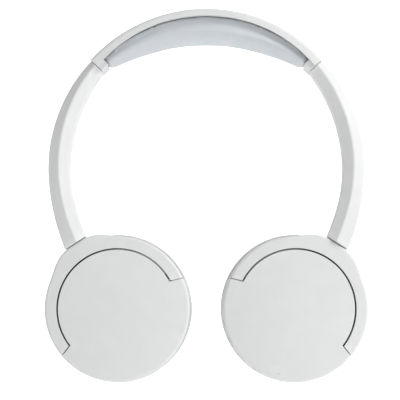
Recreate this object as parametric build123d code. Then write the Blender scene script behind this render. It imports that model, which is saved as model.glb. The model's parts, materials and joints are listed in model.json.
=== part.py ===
from build123d import *
import os
from math import asin, atan2, cos, degrees, hypot, radians, sin, sqrt

# Wireless on-ear headphones, standing upright with both ear cups turned flat.
# Millimetres. +Z is up, the outer faces of the cups look to -Y, the ear pads to +Y,
# and +X is the wearer's right, the side that carries the controls.
# The shapes are drawn about the centre of the arch and moved to the floor at the end.
# The right side is drawn first and the left side is its mirror image.

# ---- arch: headband and arms -------------------------------------------------
ARCH_RADIUS = 81.6          # outer surface of the headband, from the arch's centre
BAND_HALF_ANGLE = 47.0      # where the headband ends and the arms start
BAND_WIDTH = 28.0           # front to back at the top
BAND_END_WIDTH = 20.0       # front to back at its ends
BAND_EDGE = 3.7             # height of the cover's edge at the top
BAND_END_EDGE = 5.0         # height of the cover's edge at its ends
BAND_WALL = 1.5
BAND_CORNER = 2.0
END_BLOCK_ANGLE = 43.5      # the tray gets deeper from here to the end of the band
END_BLOCK_HEIGHT = 7.8      # from the outer surface to the underside of the block

SPRING_THICKNESS = 0.8
SPRING_WIDTH = 14.0
SPRING_HALF_ANGLE = 37.0
TRAY_THICKNESS = 1.6

PAD_HEIGHT = 12.2           # headband pad below the cover's edge, at the top
PAD_END_HEIGHT = 3.6        # and at its ends
PAD_HALF_ANGLE = 43.2
PAD_CROWN_SHARE = 0.7       # the lower share of the pad's section is half an ellipse
PAD_FIT = 0.25              # between the pad and the cover's side walls
PAD_SECTION_COUNT = 9
PAD_PLATE_THICKNESS = 1.6
PAD_PLATE_WIDTH = 15.0
PAD_PLATE_HALF_ANGLE = 36.0

SEAM_GAP = 0.3              # between the end of the band and the top of the arm
ARM_TOP_THICKNESS = 8.2     # radial size of the arm at its top
ARM_MID_THICKNESS = 11.0    # at its widest stretch
ARM_THIN_ANGLE = 40.0       # the arm reaches the mid thickness this far below its top
ARM_FLARE = 2.4             # how far the outer surface swings out at the bottom
ARM_FLARE_ANGLE = 25.0      # over this last stretch
ARM_END_TUCK = 0.9          # how far the inner surface draws in at the bottom
ARM_SIDE_ROOM = 5.2         # from the slider strip's edge to the parting ridge, at the top
ARM_END_DEPTH = 12.6        # front to back, at the parting ridge, at the bottom
ARM_FACE_SHARE = 0.58       # width of the outer and inner faces over the ridge's width
RIDGE_TOP_SHARE = 0.42      # place of the ridge, as a share of the thickness
RIDGE_END_SHARE = 0.58
ARM_WALL = 1.5
ARM_CORNER = 1.3
ARM_FACE_INSET = 0.5        # the cavity's corners draw in by these shares of the wall,
ARM_RIDGE_INSET = 1.2       # at the faces and at the ridge
ARM_SECTION_COUNT = 9
ARM_OVERRUN = 4.0           # degrees drawn past the arm's end, before it is cut square
ARM_SOLID_END = 13.0        # the arm is solid over this last stretch
ARM_SCREW_ABOVE = 5.0       # its screw sits this far above that
ARM_END_ROUND = 0.5

# ---- slider ------------------------------------------------------------------
SLIDE_RADIUS = 250.0        # curve of the steel strip that the arm slides on
SLIDE_TRAVEL = 25.0
STRIP_THICKNESS = 1.4
STRIP_WIDTH = 8.0
STRIP_ENGAGED = 15.0        # length still inside the arm when it is pulled out
STRIP_ROOT = 5.4            # length inside the headband
STRIP_SCREW_LENGTH = 4.1
STRIP_HEAD = 1.6            # wide stop at the end of the strip
STRIP_HEAD_EDGE = 0.5       # it stands out by this much on each side
STRIP_SET_IN = 1.6          # strip's middle lies this far inside the arm's middle
SLIDE_FIT = 0.12
GUIDE_LENGTH = 12.5
GUIDE_FIT = 0.05
LEAF_THICKNESS = 0.4
LEAF_WIDTH = 4.0
LEAF_LENGTH = 10.0
LEAF_GAP = 0.25
LEAF_SET_BACK = 1.0         # behind the end of the guide

# ---- swivel ------------------------------------------------------------------
AXIS_LEAN = 3.0             # the swivel axis leans this much more than the arm's end
SHAFT_RADIUS = 2.0
SHAFT_BORE = 0.9
SHAFT_FIT = 0.05
SHAFT_SUNK = 7.0            # length pressed into the hanger
BUSH_WALL = 1.0
BUSH_LENGTH = 6.5
BUSH_LIP = 0.6              # recess of the bush behind the arm's end face
CLIP_THICKNESS = 0.7
CLIP_EDGE = 0.8             # the clip stands out of the shaft by this much
CLIP_GROOVE = 0.4
CLIP_ROOM = 0.35
SWIVEL_GAP = 0.4            # between the arm's end face and the hanger's shoulder

# ---- ear cup -----------------------------------------------------------------
CUP_RADIUS = 38.4           # rear housing, the widest part of the cup
CUP_GAP = 14.8              # between the two cups when they lie flat
RIM_STEP = 1.2              # the cover and the hanger stand back from the housing's rim
SHOULDER_RISE = 2.4         # hanger's shoulder above the cover's edge
SHOULDER_HALF_WIDTH = 5.3
SHOULDER_SLOPE = 0.12
SHOULDER_REACH = 36.0       # angle at which the shoulder runs into the round outline
DOME_FRONT = 7.0            # middle of the outer face, in front of the swivel axis
DOME_RISE = 2.4
RIM_ROUND = 1.5
HANGER_WIDTH = 6.3          # width of the hanger's ring
ARC_GAP = 0.7               # open gap between the hanger and the drum inside it
DRUM_NECK = 0.6             # the drum is this much smaller behind its lip
DRUM_LIP = 4.5              # depth of the lip
ARC_ROUND = 0.3             # edges on both sides of the gap
TIP_ANGLE = 95.75           # where the gap ends, from the swivel axis
TIP_SLOPE = 109.0           # direction of the hanger's end faces
TIP_GAP = 0.55
HANGER_BACK = 4.0           # back of the hanger behind the swivel axis
HANGER_WALL = 1.6
HANGER_FLOOR = 2.4
HANGER_BLOCK_ANGLE = 14.0   # the hanger is solid up to here, from the swivel axis
HANGER_CHANNEL_ANGLE = 80.0
HANGER_LID = 1.2
TILT_ROOM = 3.8             # free space behind the hanger
PIN_RADIUS = 1.5
PIN_FIT = 0.05
PIN_IN_DRUM = 4.0
PIN_IN_HANGER = 4.0
PIN_END_ROOM = 0.2
PIN_BOSS_WALL = 0.8         # end wall of the boss that holds the pin
PIN_BOSS_RADIUS = 3.0

CUP_WALL = 1.6
HOUSING_DEPTH = 5.2         # rear housing
HOUSING_ROUND = 0.7
SHELF_THICKNESS = 1.4
SHELF_LAP = 1.2             # the shelf reaches this far under the drum's wall
BAFFLE_THICKNESS = 1.6
SCREW_ANGLES = (45, 135, 270)
POST_RADIUS = 2.3
POST_ROOM = 1.1             # between the posts and the drum's wall
POST_FIT = 0.4              # between the posts and the circuit board
SCREW_RADIUS = 0.9
SCREW_HEAD_RADIUS = 1.9
SCREW_HEAD = 1.1
SCREW_GRIP = 5.0

DRIVER_ROOM = 5.6           # between the driver's flange and the screw posts
DRIVER_FLANGE = 1.6
DRIVER_FLANGE_THICKNESS = 0.8
DRIVER_DEPTH = 3.6
DRIVER_WALL = 1.4
DRIVER_FIT = 0.1
MAGNET_SHARE = 0.53         # radius of the magnet over the driver's
MAGNET_LENGTH = 5.0
MAGNET_EDGE = 0.4
DIAPHRAGM_THICKNESS = 0.3
DIAPHRAGM_RISE = 0.9
SURROUND_WIDTH = 1.0
GRILLE_THICKNESS = 0.8
GRILLE_HOLE = 0.7
GRILLE_PITCH = 2.6
VENT_COUNT = 12

PAD_RING_THICKNESS = 1.4
PAD_RING_WIDTH = 4.2
EAR_PAD_SET_IN = 1.4        # from the housing's rim
EAR_PAD_ROOM = 0.3          # between the pad's opening and the driver's flange
EAR_PAD_THICKNESS = 11.4
EAR_PAD_OUTER_ROUND = 5.0
EAR_PAD_INNER_ROUND = 3.0

# ---- electronics and controls ------------------------------------------------
BATTERY_SIZE = (28.0, 4.6, 20.0)
BATTERY_FRONT = -3.8
BATTERY_CORNER = 1.0
BOARD_ROOM = 2.0            # between the board's edge and the cover's wall
BOARD_TOP = -8.5
BOARD_FRONT = 3.4
BOARD_THICKNESS = 1.2
BUTTON_DEPTH_PLACE = 1.4    # middle of the row of buttons, behind the swivel axis
BUTTON_LENGTH = 7.0
BUTTON_HEIGHT = 3.4
BUTTON_PROUD = 0.6
BUTTON_TRAVEL = 0.4
BUTTON_FIT = 0.2
BUTTON_FLANGE = 0.8
BUTTON_FLANGE_EDGE = 0.6
BUTTON_FLANGE_GAP = 0.1     # between the flange and the cover's wall
BUTTON_STEM_GAP = 0.05      # between the pressed stem and its switch
BUTTON_STEM_RADIUS = 0.8
SWITCH_SIZE = (4.0, 3.4, 2.4)
PORT_ANGLE = 90.0           # the socket is at the bottom, the other controls go up from it
MICROPHONE_PLACE = 9.7      # distances from the socket, along the cover's wall
POWER_PLACE = 19.5
LIGHT_PLACE = 25.0
VOLUME_DOWN_PLACE = 30.5
PLAY_PLACE = 39.6
VOLUME_UP_PLACE = 48.7
LIGHT_RADIUS = 0.6
MICROPHONE_HOLE = 0.35
MICROPHONE_RADIUS = 1.0
MICROPHONE_LENGTH = 3.5
MICROPHONE_GAP = 0.3        # between the capsule and the cover's side wall
PORT_WIDTH = 9.0
PORT_HEIGHT = 3.3
PORT_DEPTH = 7.0
PORT_WALL = 0.3
PORT_RECESS = 0.4
PORT_FLOOR = 0.6
PORT_TONGUE = (6.6, 0.7, 5.0)
PORT_FIT = 0.1


# ---- values that follow ------------------------------------------------------
def control_angle(place):
    """Angle below the line to the other cup, at a distance up the wall from the socket."""
    return PORT_ANGLE - degrees(place / COVER_RADIUS)


ARM_TOP_ANGLE = BAND_HALF_ANGLE + degrees(SEAM_GAP / ARCH_RADIUS)
ARM_END_MIDDLE = ARCH_RADIUS + ARM_FLARE - (ARM_MID_THICKNESS + ARM_FLARE - ARM_END_TUCK) / 2
ARM_TOP_DEPTH = STRIP_WIDTH + 2 * ARM_SIDE_ROOM
PAD_TOP = ARCH_RADIUS - BAND_WALL - SPRING_THICKNESS - TRAY_THICKNESS
COVER_RADIUS = CUP_RADIUS - RIM_STEP
DRUM_RADIUS = COVER_RADIUS - HANGER_WIDTH - ARC_GAP
DRUM_INSIDE = DRUM_RADIUS - DRUM_NECK - CUP_WALL
SHOULDER = COVER_RADIUS + SHOULDER_RISE
SEAM_TO_CUP = SHOULDER + SWIVEL_GAP
SPLIT = HANGER_BACK + TILT_ROOM                 # joint between cover and rear housing
HOUSING_BACK = SPLIT + HOUSING_DEPTH
PAD_SEAT = HOUSING_BACK + PAD_RING_THICKNESS
PAD_FRONT = PAD_SEAT + EAR_PAD_THICKNESS
DOME_RADIUS = (COVER_RADIUS ** 2 + DOME_RISE ** 2) / (2 * DOME_RISE)
SCREW_CIRCLE = DRUM_INSIDE - POST_RADIUS - POST_ROOM
SHELF_INNER = DRUM_RADIUS - DRUM_NECK - SHELF_LAP
DRIVER_RADIUS = SCREW_CIRCLE - POST_RADIUS - DRIVER_ROOM - DRIVER_FLANGE
MAGNET_RADIUS = DRIVER_RADIUS * MAGNET_SHARE
PAD_RING_RADIUS = CUP_RADIUS - 2 * CUP_WALL
EAR_PAD_RADIUS = CUP_RADIUS - EAR_PAD_SET_IN
EAR_PAD_OPENING = DRIVER_RADIUS + DRIVER_FLANGE + EAR_PAD_ROOM
BOARD_RADIUS = COVER_RADIUS - CUP_WALL - BOARD_ROOM
BUTTON_ANGLES = {
    "volume_up": control_angle(VOLUME_UP_PLACE),
    "play": control_angle(PLAY_PLACE),
    "volume_down": control_angle(VOLUME_DOWN_PLACE),
    "power": control_angle(POWER_PLACE),
}
CLIP_RADIUS = SHAFT_RADIUS + CLIP_EDGE
STRIP_HEAD_WIDTH = STRIP_WIDTH + 2 * STRIP_HEAD_EDGE


def arm_end_angle():
    """Angle from the top at which the arms end, so that the cups stand CUP_GAP apart."""
    wanted = CUP_RADIUS + CUP_GAP / 2
    across = ARM_END_MIDDLE - SEAM_TO_CUP * sin(radians(AXIS_LEAN))
    along = SEAM_TO_CUP * cos(radians(AXIS_LEAN))
    return 180 - degrees(asin(wanted / hypot(across, along))) - degrees(atan2(along, across))


ARM_END_ANGLE = arm_end_angle()
AXIS_ANGLE = ARM_END_ANGLE - 90 + AXIS_LEAN     # swivel axis, from upright
SEAM_X = ARM_END_MIDDLE * sin(radians(ARM_END_ANGLE))
SEAM_Z = ARM_END_MIDDLE * cos(radians(ARM_END_ANGLE))
CUP_X = SEAM_X - SEAM_TO_CUP * sin(radians(AXIS_ANGLE))
CUP_Z = SEAM_Z - SEAM_TO_CUP * cos(radians(AXIS_ANGLE))
CUP_PLACE = Location((CUP_X, 0, CUP_Z), (0, AXIS_ANGLE, 0))

STRIP_INSIDE = SLIDE_TRAVEL + STRIP_ENGAGED
SLIDE_MID_RADIUS = ARCH_RADIUS - ARM_TOP_THICKNESS / 2 - STRIP_SET_IN
SLIDE_MID_ANGLE = ARM_TOP_ANGLE + degrees(STRIP_INSIDE / 2 / SLIDE_MID_RADIUS)
SLIDE_CENTRE_DISTANCE = SLIDE_RADIUS - SLIDE_MID_RADIUS
SLIDE_X = -SLIDE_CENTRE_DISTANCE * sin(radians(SLIDE_MID_ANGLE))
SLIDE_Z = -SLIDE_CENTRE_DISTANCE * cos(radians(SLIDE_MID_ANGLE))

FLOOR = CUP_RADIUS - CUP_Z                      # height of the arch's centre
CENTRE_Y = (PAD_FRONT - BAND_WIDTH / 2) / 2     # middle of the whole depth
STAND = Location((0, -CENTRE_Y, FLOOR))
FAR = 3 * ARCH_RADIUS                           # longer than anything here
OVERCUT = 1.0                                   # cutting shapes run past a face by this much


# ---- drawing helpers ---------------------------------------------------------
def on_arch(radius, angle):
    """A point of the X-Z plane, at an angle from the top towards +X."""
    return (radius * sin(radians(angle)), radius * cos(radians(angle)))


def slab(sketch, front, back):
    """An X-Z outline with its depth from y=front to y=back."""
    return Pos(0, back, 0) * extrude(Plane.XZ * sketch, amount=back - front)


def arch_sector(outer, inner, start, end):
    """Flat outline between two radii about the arch's centre."""
    middle = (start + end) / 2
    edges = [
        ThreePointArc(on_arch(outer, start), on_arch(outer, middle), on_arch(outer, end)),
        Line(on_arch(outer, end), on_arch(inner, end)),
        ThreePointArc(on_arch(inner, end), on_arch(inner, middle), on_arch(inner, start)),
        Line(on_arch(inner, start), on_arch(outer, start)),
    ]
    return make_face(edges)


def crescent(outer, middle_inner, end_inner, half_angle):
    """Flat outline with a round top and a lower arc that need not share its centre."""
    edges = [
        ThreePointArc(on_arch(outer, -half_angle), on_arch(outer, 0), on_arch(outer, half_angle)),
        Line(on_arch(outer, half_angle), on_arch(end_inner, half_angle)),
        ThreePointArc(
            on_arch(end_inner, half_angle), (0, middle_inner), on_arch(end_inner, -half_angle)
        ),
        Line(on_arch(end_inner, -half_angle), on_arch(outer, -half_angle)),
    ]
    return make_face(edges)


def rod(radius, start, end):
    """A round bar between two points."""
    axis = Vector(*end) - Vector(*start)
    return extrude(Plane(origin=start, z_dir=axis) * Circle(radius), amount=axis.length)


def tube(outer, inner, front, back):
    """A ring about the Y axis."""
    ring = Circle(outer) - Circle(inner)
    return slab(ring, front, back)


# ---- headband ----------------------------------------------------------------
def band_plan(inset):
    """The headband's outline from above, wide at the top and narrow at its ends."""
    end = ARCH_RADIUS * sin(radians(BAND_HALF_ANGLE))
    half = BAND_WIDTH / 2 - inset
    end_half = BAND_END_WIDTH / 2 - inset
    edges = [
        ThreePointArc((-end, end_half), (0, half), (end, end_half)),
        Line((end, end_half), (end, -end_half)),
        ThreePointArc((end, -end_half), (0, -half), (-end, -end_half)),
        Line((-end, -end_half), (-end, end_half)),
    ]
    return extrude(make_face(edges), amount=2 * ARCH_RADIUS)


def headband_cover():
    """Outer cover: a curved channel, open downwards."""
    low = ARCH_RADIUS - BAND_EDGE
    low_end = ARCH_RADIUS - BAND_END_EDGE
    outline = crescent(ARCH_RADIUS, low, low_end, BAND_HALF_ANGLE)
    body = slab(outline, -BAND_WIDTH, BAND_WIDTH) & band_plan(0)
    top_edges = body.edges().filter_by(
        lambda e: e.length > ARCH_RADIUS and e.center().Z > ARCH_RADIUS - BAND_EDGE / 2
    )
    body = fillet(top_edges, BAND_CORNER)
    inside = ARCH_RADIUS - BAND_WALL
    reach = BAND_HALF_ANGLE + OVERCUT
    hollow = slab(arch_sector(inside, inside / 2, -reach, reach), -BAND_WIDTH, BAND_WIDTH)
    return body - (hollow & band_plan(BAND_WALL))


def band_tray():
    """Inner tray that closes the cover, with a deeper block at each end."""
    top = PAD_TOP + TRAY_THICKNESS
    plate = arch_sector(top, PAD_TOP, -END_BLOCK_ANGLE, END_BLOCK_ANGLE)
    tray = slab(plate, -BAND_WIDTH, BAND_WIDTH)
    for side in (-1, 1):
        limits = sorted((side * END_BLOCK_ANGLE, side * BAND_HALF_ANGLE))
        block = arch_sector(ARCH_RADIUS - BAND_WALL, ARCH_RADIUS - END_BLOCK_HEIGHT, *limits)
        tray += slab(block, -BAND_WIDTH, BAND_WIDTH)
    tray = tray & band_plan(BAND_WALL)
    pocket = strip_outline(-STRIP_INSIDE / 2 - STRIP_ROOT, STRIP_INSIDE / 2, 0)
    for place in (pocket, mirror(pocket, about=Plane.YZ)):
        tray -= slab(place, -STRIP_WIDTH / 2, STRIP_WIDTH / 2)
    for screw in strip_screws():
        tray -= screw
    return tray


def spring_band():
    """Flat steel spring between the cover and the tray."""
    top = ARCH_RADIUS - BAND_WALL
    outline = arch_sector(top, top - SPRING_THICKNESS, -SPRING_HALF_ANGLE, SPRING_HALF_ANGLE)
    return slab(outline, -SPRING_WIDTH / 2, SPRING_WIDTH / 2)


def pad_plate(raised=0):
    """Stiff plate inside the headband pad."""
    reach = PAD_PLATE_HALF_ANGLE
    outline = arch_sector(PAD_TOP + raised, PAD_TOP - PAD_PLATE_THICKNESS, -reach, reach)
    return slab(outline, -PAD_PLATE_WIDTH / 2, PAD_PLATE_WIDTH / 2)


def arc_height(middle, side, side_height, across):
    """Height at a distance across, on the arc through its middle height and a side point."""
    drop = middle - side_height
    radius = (side ** 2 + drop ** 2) / (2 * drop)
    return middle - radius + sqrt(radius ** 2 - across ** 2)


def pad_section(angle):
    """Section of the headband pad: straight sides at its root, half an ellipse below."""
    end_x, end_z = on_arch(ARCH_RADIUS - BAND_END_EDGE - PAD_END_HEIGHT, PAD_HALF_ANGLE)
    across = end_x * angle / PAD_HALF_ANGLE
    low = hypot(across, arc_height(ARCH_RADIUS - BAND_EDGE - PAD_HEIGHT, end_x, end_z, across))
    band_end = ARCH_RADIUS * sin(radians(BAND_HALF_ANGLE))
    at_root = PAD_TOP * sin(radians(angle))
    half = arc_height(BAND_WIDTH / 2, band_end, BAND_END_WIDTH / 2, at_root) - BAND_WALL - PAD_FIT
    crown = (PAD_TOP - low) * PAD_CROWN_SHARE
    side = low + crown
    root = PAD_TOP + OVERCUT
    edges = [
        Line((root, -half), (root, half)),
        Line((root, half), (side, half)),
        EllipticalCenterArc((side, 0), crown, half, 90, arc_size=180),
        Line((side, -half), (root, -half)),
    ]
    return arm_plane(angle) * make_face(edges)


def headband_pad():
    """Soft crescent under the headband, with a pocket for its plate."""
    step = 2 * PAD_HALF_ANGLE / (PAD_SECTION_COUNT - 1)
    pad = loft([pad_section(step * i - PAD_HALF_ANGLE) for i in range(PAD_SECTION_COUNT)])
    reach = PAD_HALF_ANGLE + OVERCUT
    below_tray = arch_sector(PAD_TOP, ARCH_RADIUS / 2, -reach, reach)
    pad = pad & slab(below_tray, -BAND_WIDTH, BAND_WIDTH)
    return pad - pad_plate(OVERCUT)


# ---- slider strip ------------------------------------------------------------
def on_slide(offset, along):
    """A point beside the strip's middle line; along counts down the arm."""
    angle = SLIDE_MID_ANGLE + degrees(along / SLIDE_RADIUS)
    x, z = on_arch(SLIDE_RADIUS + offset, angle)
    return (SLIDE_X + x, SLIDE_Z + z)


def slide_sector(low, high, start, end):
    """Flat outline between two offsets from the strip's middle line."""
    middle = (start + end) / 2
    edges = [
        ThreePointArc(on_slide(high, start), on_slide(high, middle), on_slide(high, end)),
        Line(on_slide(high, end), on_slide(low, end)),
        ThreePointArc(on_slide(low, end), on_slide(low, middle), on_slide(low, start)),
        Line(on_slide(low, start), on_slide(high, start)),
    ]
    return make_face(edges)


def strip_outline(start, end, room):
    half = STRIP_THICKNESS / 2 + room
    return slide_sector(-half, half, start, end)


def slider_strip():
    """Curved steel strip, fixed in the headband, with a wide stop at its free end."""
    start = -STRIP_INSIDE / 2 - STRIP_ROOT
    end = STRIP_INSIDE / 2
    strip = slab(strip_outline(start, end, 0), -STRIP_WIDTH / 2, STRIP_WIDTH / 2)
    head = strip_outline(end - STRIP_HEAD, end, 0)
    strip += slab(head, -STRIP_HEAD_WIDTH / 2, STRIP_HEAD_WIDTH / 2)
    return strip - strip_screws()[0]


def strip_screws():
    """One screw at each end of the band, through the strip's root."""
    along = -STRIP_INSIDE / 2 - STRIP_ROOT / 2
    top = STRIP_THICKNESS / 2
    under = top - STRIP_SCREW_LENGTH
    ends = [on_slide(offset, along) for offset in (under, under + SCREW_HEAD, top)]
    low, seat, high = [(x, 0, z) for x, z in ends]
    screw = rod(SCREW_RADIUS, low, high) + rod(SCREW_HEAD_RADIUS, low, seat)
    return [screw, mirror(screw, about=Plane.YZ)]


# ---- arm ---------------------------------------------------------------------
def arm_radii(angle):
    """Outer, ridge and inner radius of the arm at an angle from the top."""
    flare = max(0, (angle - (ARM_END_ANGLE - ARM_FLARE_ANGLE)) / ARM_FLARE_ANGLE)
    slim = max(0, 1 - (angle - ARM_TOP_ANGLE) / ARM_THIN_ANGLE)
    outer = ARCH_RADIUS + ARM_FLARE * flare ** 2
    thin = (ARM_MID_THICKNESS - ARM_TOP_THICKNESS) * slim ** 2
    inner = ARCH_RADIUS - ARM_MID_THICKNESS + thin + ARM_END_TUCK * flare ** 4
    share = (angle - ARM_TOP_ANGLE) / (ARM_END_ANGLE - ARM_TOP_ANGLE)
    ridge_share = RIDGE_TOP_SHARE + (RIDGE_END_SHARE - RIDGE_TOP_SHARE) * share
    return outer, outer - ridge_share * (outer - inner), inner


def arm_half_depth(angle):
    share = (angle - ARM_TOP_ANGLE) / (ARM_END_ANGLE - ARM_TOP_ANGLE)
    return (ARM_TOP_DEPTH + (ARM_END_DEPTH - ARM_TOP_DEPTH) * share) / 2


def arm_plane(angle):
    """Section plane of the arm: local x is the radius, local y the depth."""
    x, z = on_arch(1, angle)
    return Plane(origin=(0, 0, 0), x_dir=(x, 0, z), z_dir=(z, 0, -x))


def arm_section(angle, inset, corner):
    """Six-sided section with soft corners and a parting ridge on each flank."""
    outer, ridge, inner = arm_radii(angle)
    depth = arm_half_depth(angle)
    face = ARM_FACE_SHARE * depth - ARM_FACE_INSET * inset
    flank = depth - ARM_RIDGE_INSET * inset
    points = [
        (outer - inset, -face),
        (outer - inset, face),
        (ridge, flank),
        (inner + inset, face),
        (inner + inset, -face),
        (ridge, -flank),
    ]
    outline = make_face(Polyline(*points, close=True))
    outline = fillet(outline.vertices(), corner)
    return arm_plane(angle) * outline


def arm_loft(start, end, inset, corner):
    step = (end - start) / (ARM_SECTION_COUNT - 1)
    sections = [arm_section(start + step * i, inset, corner) for i in range(ARM_SECTION_COUNT)]
    return loft(sections)


def arm_inner_side():
    """Everything on the inner side of the parting line, to split the arm with."""
    start = ARM_TOP_ANGLE - OVERCUT
    step = (ARM_END_ANGLE + ARM_OVERRUN + OVERCUT - start) / (ARM_SECTION_COUNT - 1)
    sections = []
    for i in range(ARM_SECTION_COUNT):
        angle = start + step * i
        ridge = arm_radii(angle)[1]
        outline = Pos(ridge / 2, 0) * Rectangle(ridge, 2 * ARM_TOP_DEPTH)
        sections.append(arm_plane(angle) * outline)
    return loft(sections)


def arm_blank():
    """The whole arm, cut square to the swivel axis at its lower end."""
    blank = arm_loft(ARM_TOP_ANGLE, ARM_END_ANGLE + ARM_OVERRUN, 0, ARM_CORNER)
    below = CUP_PLACE * Pos(0, 0, SEAM_TO_CUP - FAR / 2) * Box(FAR, FAR, FAR)
    blank -= below
    end_face = blank.faces().sort_by_distance((CUP_X, 0, CUP_Z))[0]
    return fillet(end_face.edges(), ARM_END_ROUND)


def arm_cavity(inset):
    solid = degrees(ARM_SOLID_END / ARM_END_MIDDLE)
    return arm_loft(ARM_TOP_ANGLE - OVERCUT, ARM_END_ANGLE - solid, inset, ARM_CORNER / 2)


def swivel_bores():
    """Stepped bore in the arm's end: shaft hole, bush seat and room for the clip."""
    seat = SEAM_TO_CUP + BUSH_LIP
    top = seat + BUSH_LENGTH
    bore = rod(SHAFT_RADIUS + 2 * SHAFT_FIT, (0, 0, SEAM_TO_CUP - OVERCUT), (0, 0, seat))
    bore += rod(SHAFT_RADIUS + BUSH_WALL, (0, 0, seat), (0, 0, top))
    room = top + CLIP_THICKNESS + 2 * CLIP_ROOM
    bore += rod(CLIP_RADIUS + CLIP_ROOM, (0, 0, top), (0, 0, room))
    return CUP_PLACE * bore


def arm_screw_angle():
    return ARM_END_ANGLE - degrees((ARM_SOLID_END + ARM_SCREW_ABOVE) / ARM_END_MIDDLE)


def arm_screw_rod(radius, low, high):
    """A round bar on the arm screw's line, between two distances from the arch's centre."""
    ends = [on_arch(reach, arm_screw_angle()) for reach in (low, high)]
    return rod(radius, *[(x, 0, z) for x, z in ends])


def arm_screw():
    """Screw that holds the two halves of the arm together."""
    outer, _, inner = arm_radii(arm_screw_angle())
    seat = inner + ARM_WALL
    shank = arm_screw_rod(SCREW_RADIUS, seat - SCREW_HEAD, outer - ARM_WALL)
    return shank + arm_screw_rod(SCREW_HEAD_RADIUS, seat - SCREW_HEAD, seat)


def arm_halves():
    """Outer and inner half shells of the arm."""
    outer, _, inner = arm_radii(arm_screw_angle())
    post = arm_screw_rod(POST_RADIUS, inner + ARM_WALL / 2, outer - ARM_WALL / 2)
    head_way = arm_screw_rod(SCREW_HEAD_RADIUS, inner - OVERCUT, inner + ARM_WALL)
    shell = arm_blank() - arm_cavity(ARM_WALL) + post
    shell = shell - swivel_bores() - arm_screw() - head_way
    inner_side = arm_inner_side()
    return shell - inner_side, shell & inner_side


def slider_guide():
    """Sleeve that closes the top of the arm and carries it on the strip."""
    turn = degrees(GUIDE_LENGTH / ARCH_RADIUS)
    region = arch_sector(2 * ARCH_RADIUS, ARCH_RADIUS / 2, ARM_TOP_ANGLE, ARM_TOP_ANGLE + turn)
    block = arm_cavity(ARM_WALL + GUIDE_FIT) & slab(region, -ARM_TOP_DEPTH, ARM_TOP_DEPTH)
    slot = strip_outline(-STRIP_INSIDE, STRIP_INSIDE, SLIDE_FIT)
    half = STRIP_WIDTH / 2 + SLIDE_FIT
    return block - slab(slot, -half, half)


def detent_leaf():
    """Thin leaf spring that clicks on the strip, held at the end of the guide."""
    start = -STRIP_INSIDE / 2 + GUIDE_LENGTH + LEAF_SET_BACK
    low = STRIP_THICKNESS / 2 + LEAF_GAP
    leaf = slide_sector(low, low + LEAF_THICKNESS, start, start + LEAF_LENGTH)
    return slab(leaf, -LEAF_WIDTH / 2, LEAF_WIDTH / 2)


def swivel_bush():
    """Plain bearing of the swivel, seated in the arm's end."""
    seat = SEAM_TO_CUP + BUSH_LIP
    top = seat + BUSH_LENGTH
    bush = rod(SHAFT_RADIUS + BUSH_WALL, (0, 0, seat), (0, 0, top))
    bush -= rod(SHAFT_RADIUS + SHAFT_FIT, (0, 0, seat - OVERCUT), (0, 0, top + OVERCUT))
    return CUP_PLACE * bush


# ---- swivel shaft (drawn about the cup's centre, swivel axis along Z) ---------
def clip_base():
    return SEAM_TO_CUP + BUSH_LIP + BUSH_LENGTH + CLIP_ROOM / 2


def swivel_shaft():
    """Hollow shaft, pressed into the hanger, with a groove for its clip."""
    clip_top = clip_base() + CLIP_THICKNESS
    top = clip_top + CLIP_ROOM
    shaft = rod(SHAFT_RADIUS, (0, 0, SHOULDER - SHAFT_SUNK), (0, 0, top))
    groove = rod(CLIP_RADIUS, (0, 0, clip_base()), (0, 0, clip_top))
    groove -= rod(SHAFT_RADIUS - CLIP_GROOVE, (0, 0, 0), (0, 0, top))
    return shaft - groove - rod(SHAFT_BORE, (0, 0, 0), (0, 0, top + OVERCUT))


def swivel_clip():
    """Open spring clip in the shaft's groove."""
    base = clip_base()
    top = base + CLIP_THICKNESS
    clip = rod(CLIP_RADIUS, (0, 0, base), (0, 0, top))
    clip -= rod(SHAFT_RADIUS - CLIP_GROOVE, (0, 0, base - OVERCUT), (0, 0, top + OVERCUT))
    mouth = Pos(CLIP_RADIUS / 2, 0, base) * Box(CLIP_RADIUS, SHAFT_RADIUS, 2 * OVERCUT)
    return clip - mouth


# ---- hanger ------------------------------------------------------------------
def above_tips(lift, reach):
    """Outline of everything on the hanger's side of its two sloping end faces."""
    corner = on_arch(DRUM_RADIUS, TIP_ANGLE)
    slope = on_arch(reach, TIP_SLOPE)
    right = (corner[0], corner[1] + lift)
    far = (right[0] + slope[0], right[1] + slope[1])
    points = [(-right[0], right[1]), right, far, (far[0], FAR), (-far[0], FAR), (-far[0], far[1])]
    return make_face(Polyline(*points, close=True))


def shoulder_outline():
    """The cover's circle with a raised shoulder that meets the arm."""
    x, z = on_arch(COVER_RADIUS, SHOULDER_REACH)
    along_x, along_z = on_arch(1, SHOULDER_REACH + 90)
    top = (SHOULDER_HALF_WIDTH, SHOULDER)
    slope = (1, -SHOULDER_SLOPE)
    right = Spline(top, (x, z), tangents=[slope, (along_x, along_z)])
    edges = [
        Line((-SHOULDER_HALF_WIDTH, SHOULDER), top),
        right,
        Line((x, z), (-x, z)),
        mirror(right, about=Plane.YZ),
    ]
    return Circle(COVER_RADIUS) + make_face(edges)


def domed(outline, back, skin):
    """An outline with the dome of the outer face in front, thinned by a skin."""
    ball = Pos(0, DOME_RADIUS - DOME_FRONT, 0) * Sphere(DOME_RADIUS - skin)
    return slab(outline, -DOME_FRONT - OVERCUT, back) & ball


def hanger_channels():
    """Channel outlines on both sides of the solid shoulder block."""
    inner = DRUM_RADIUS + ARC_GAP + HANGER_WALL
    outer = COVER_RADIUS - HANGER_WALL
    channel = arch_sector(outer, inner, HANGER_BLOCK_ANGLE, HANGER_CHANNEL_ANGLE)
    return channel, mirror(channel, about=Plane.YZ)


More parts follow.
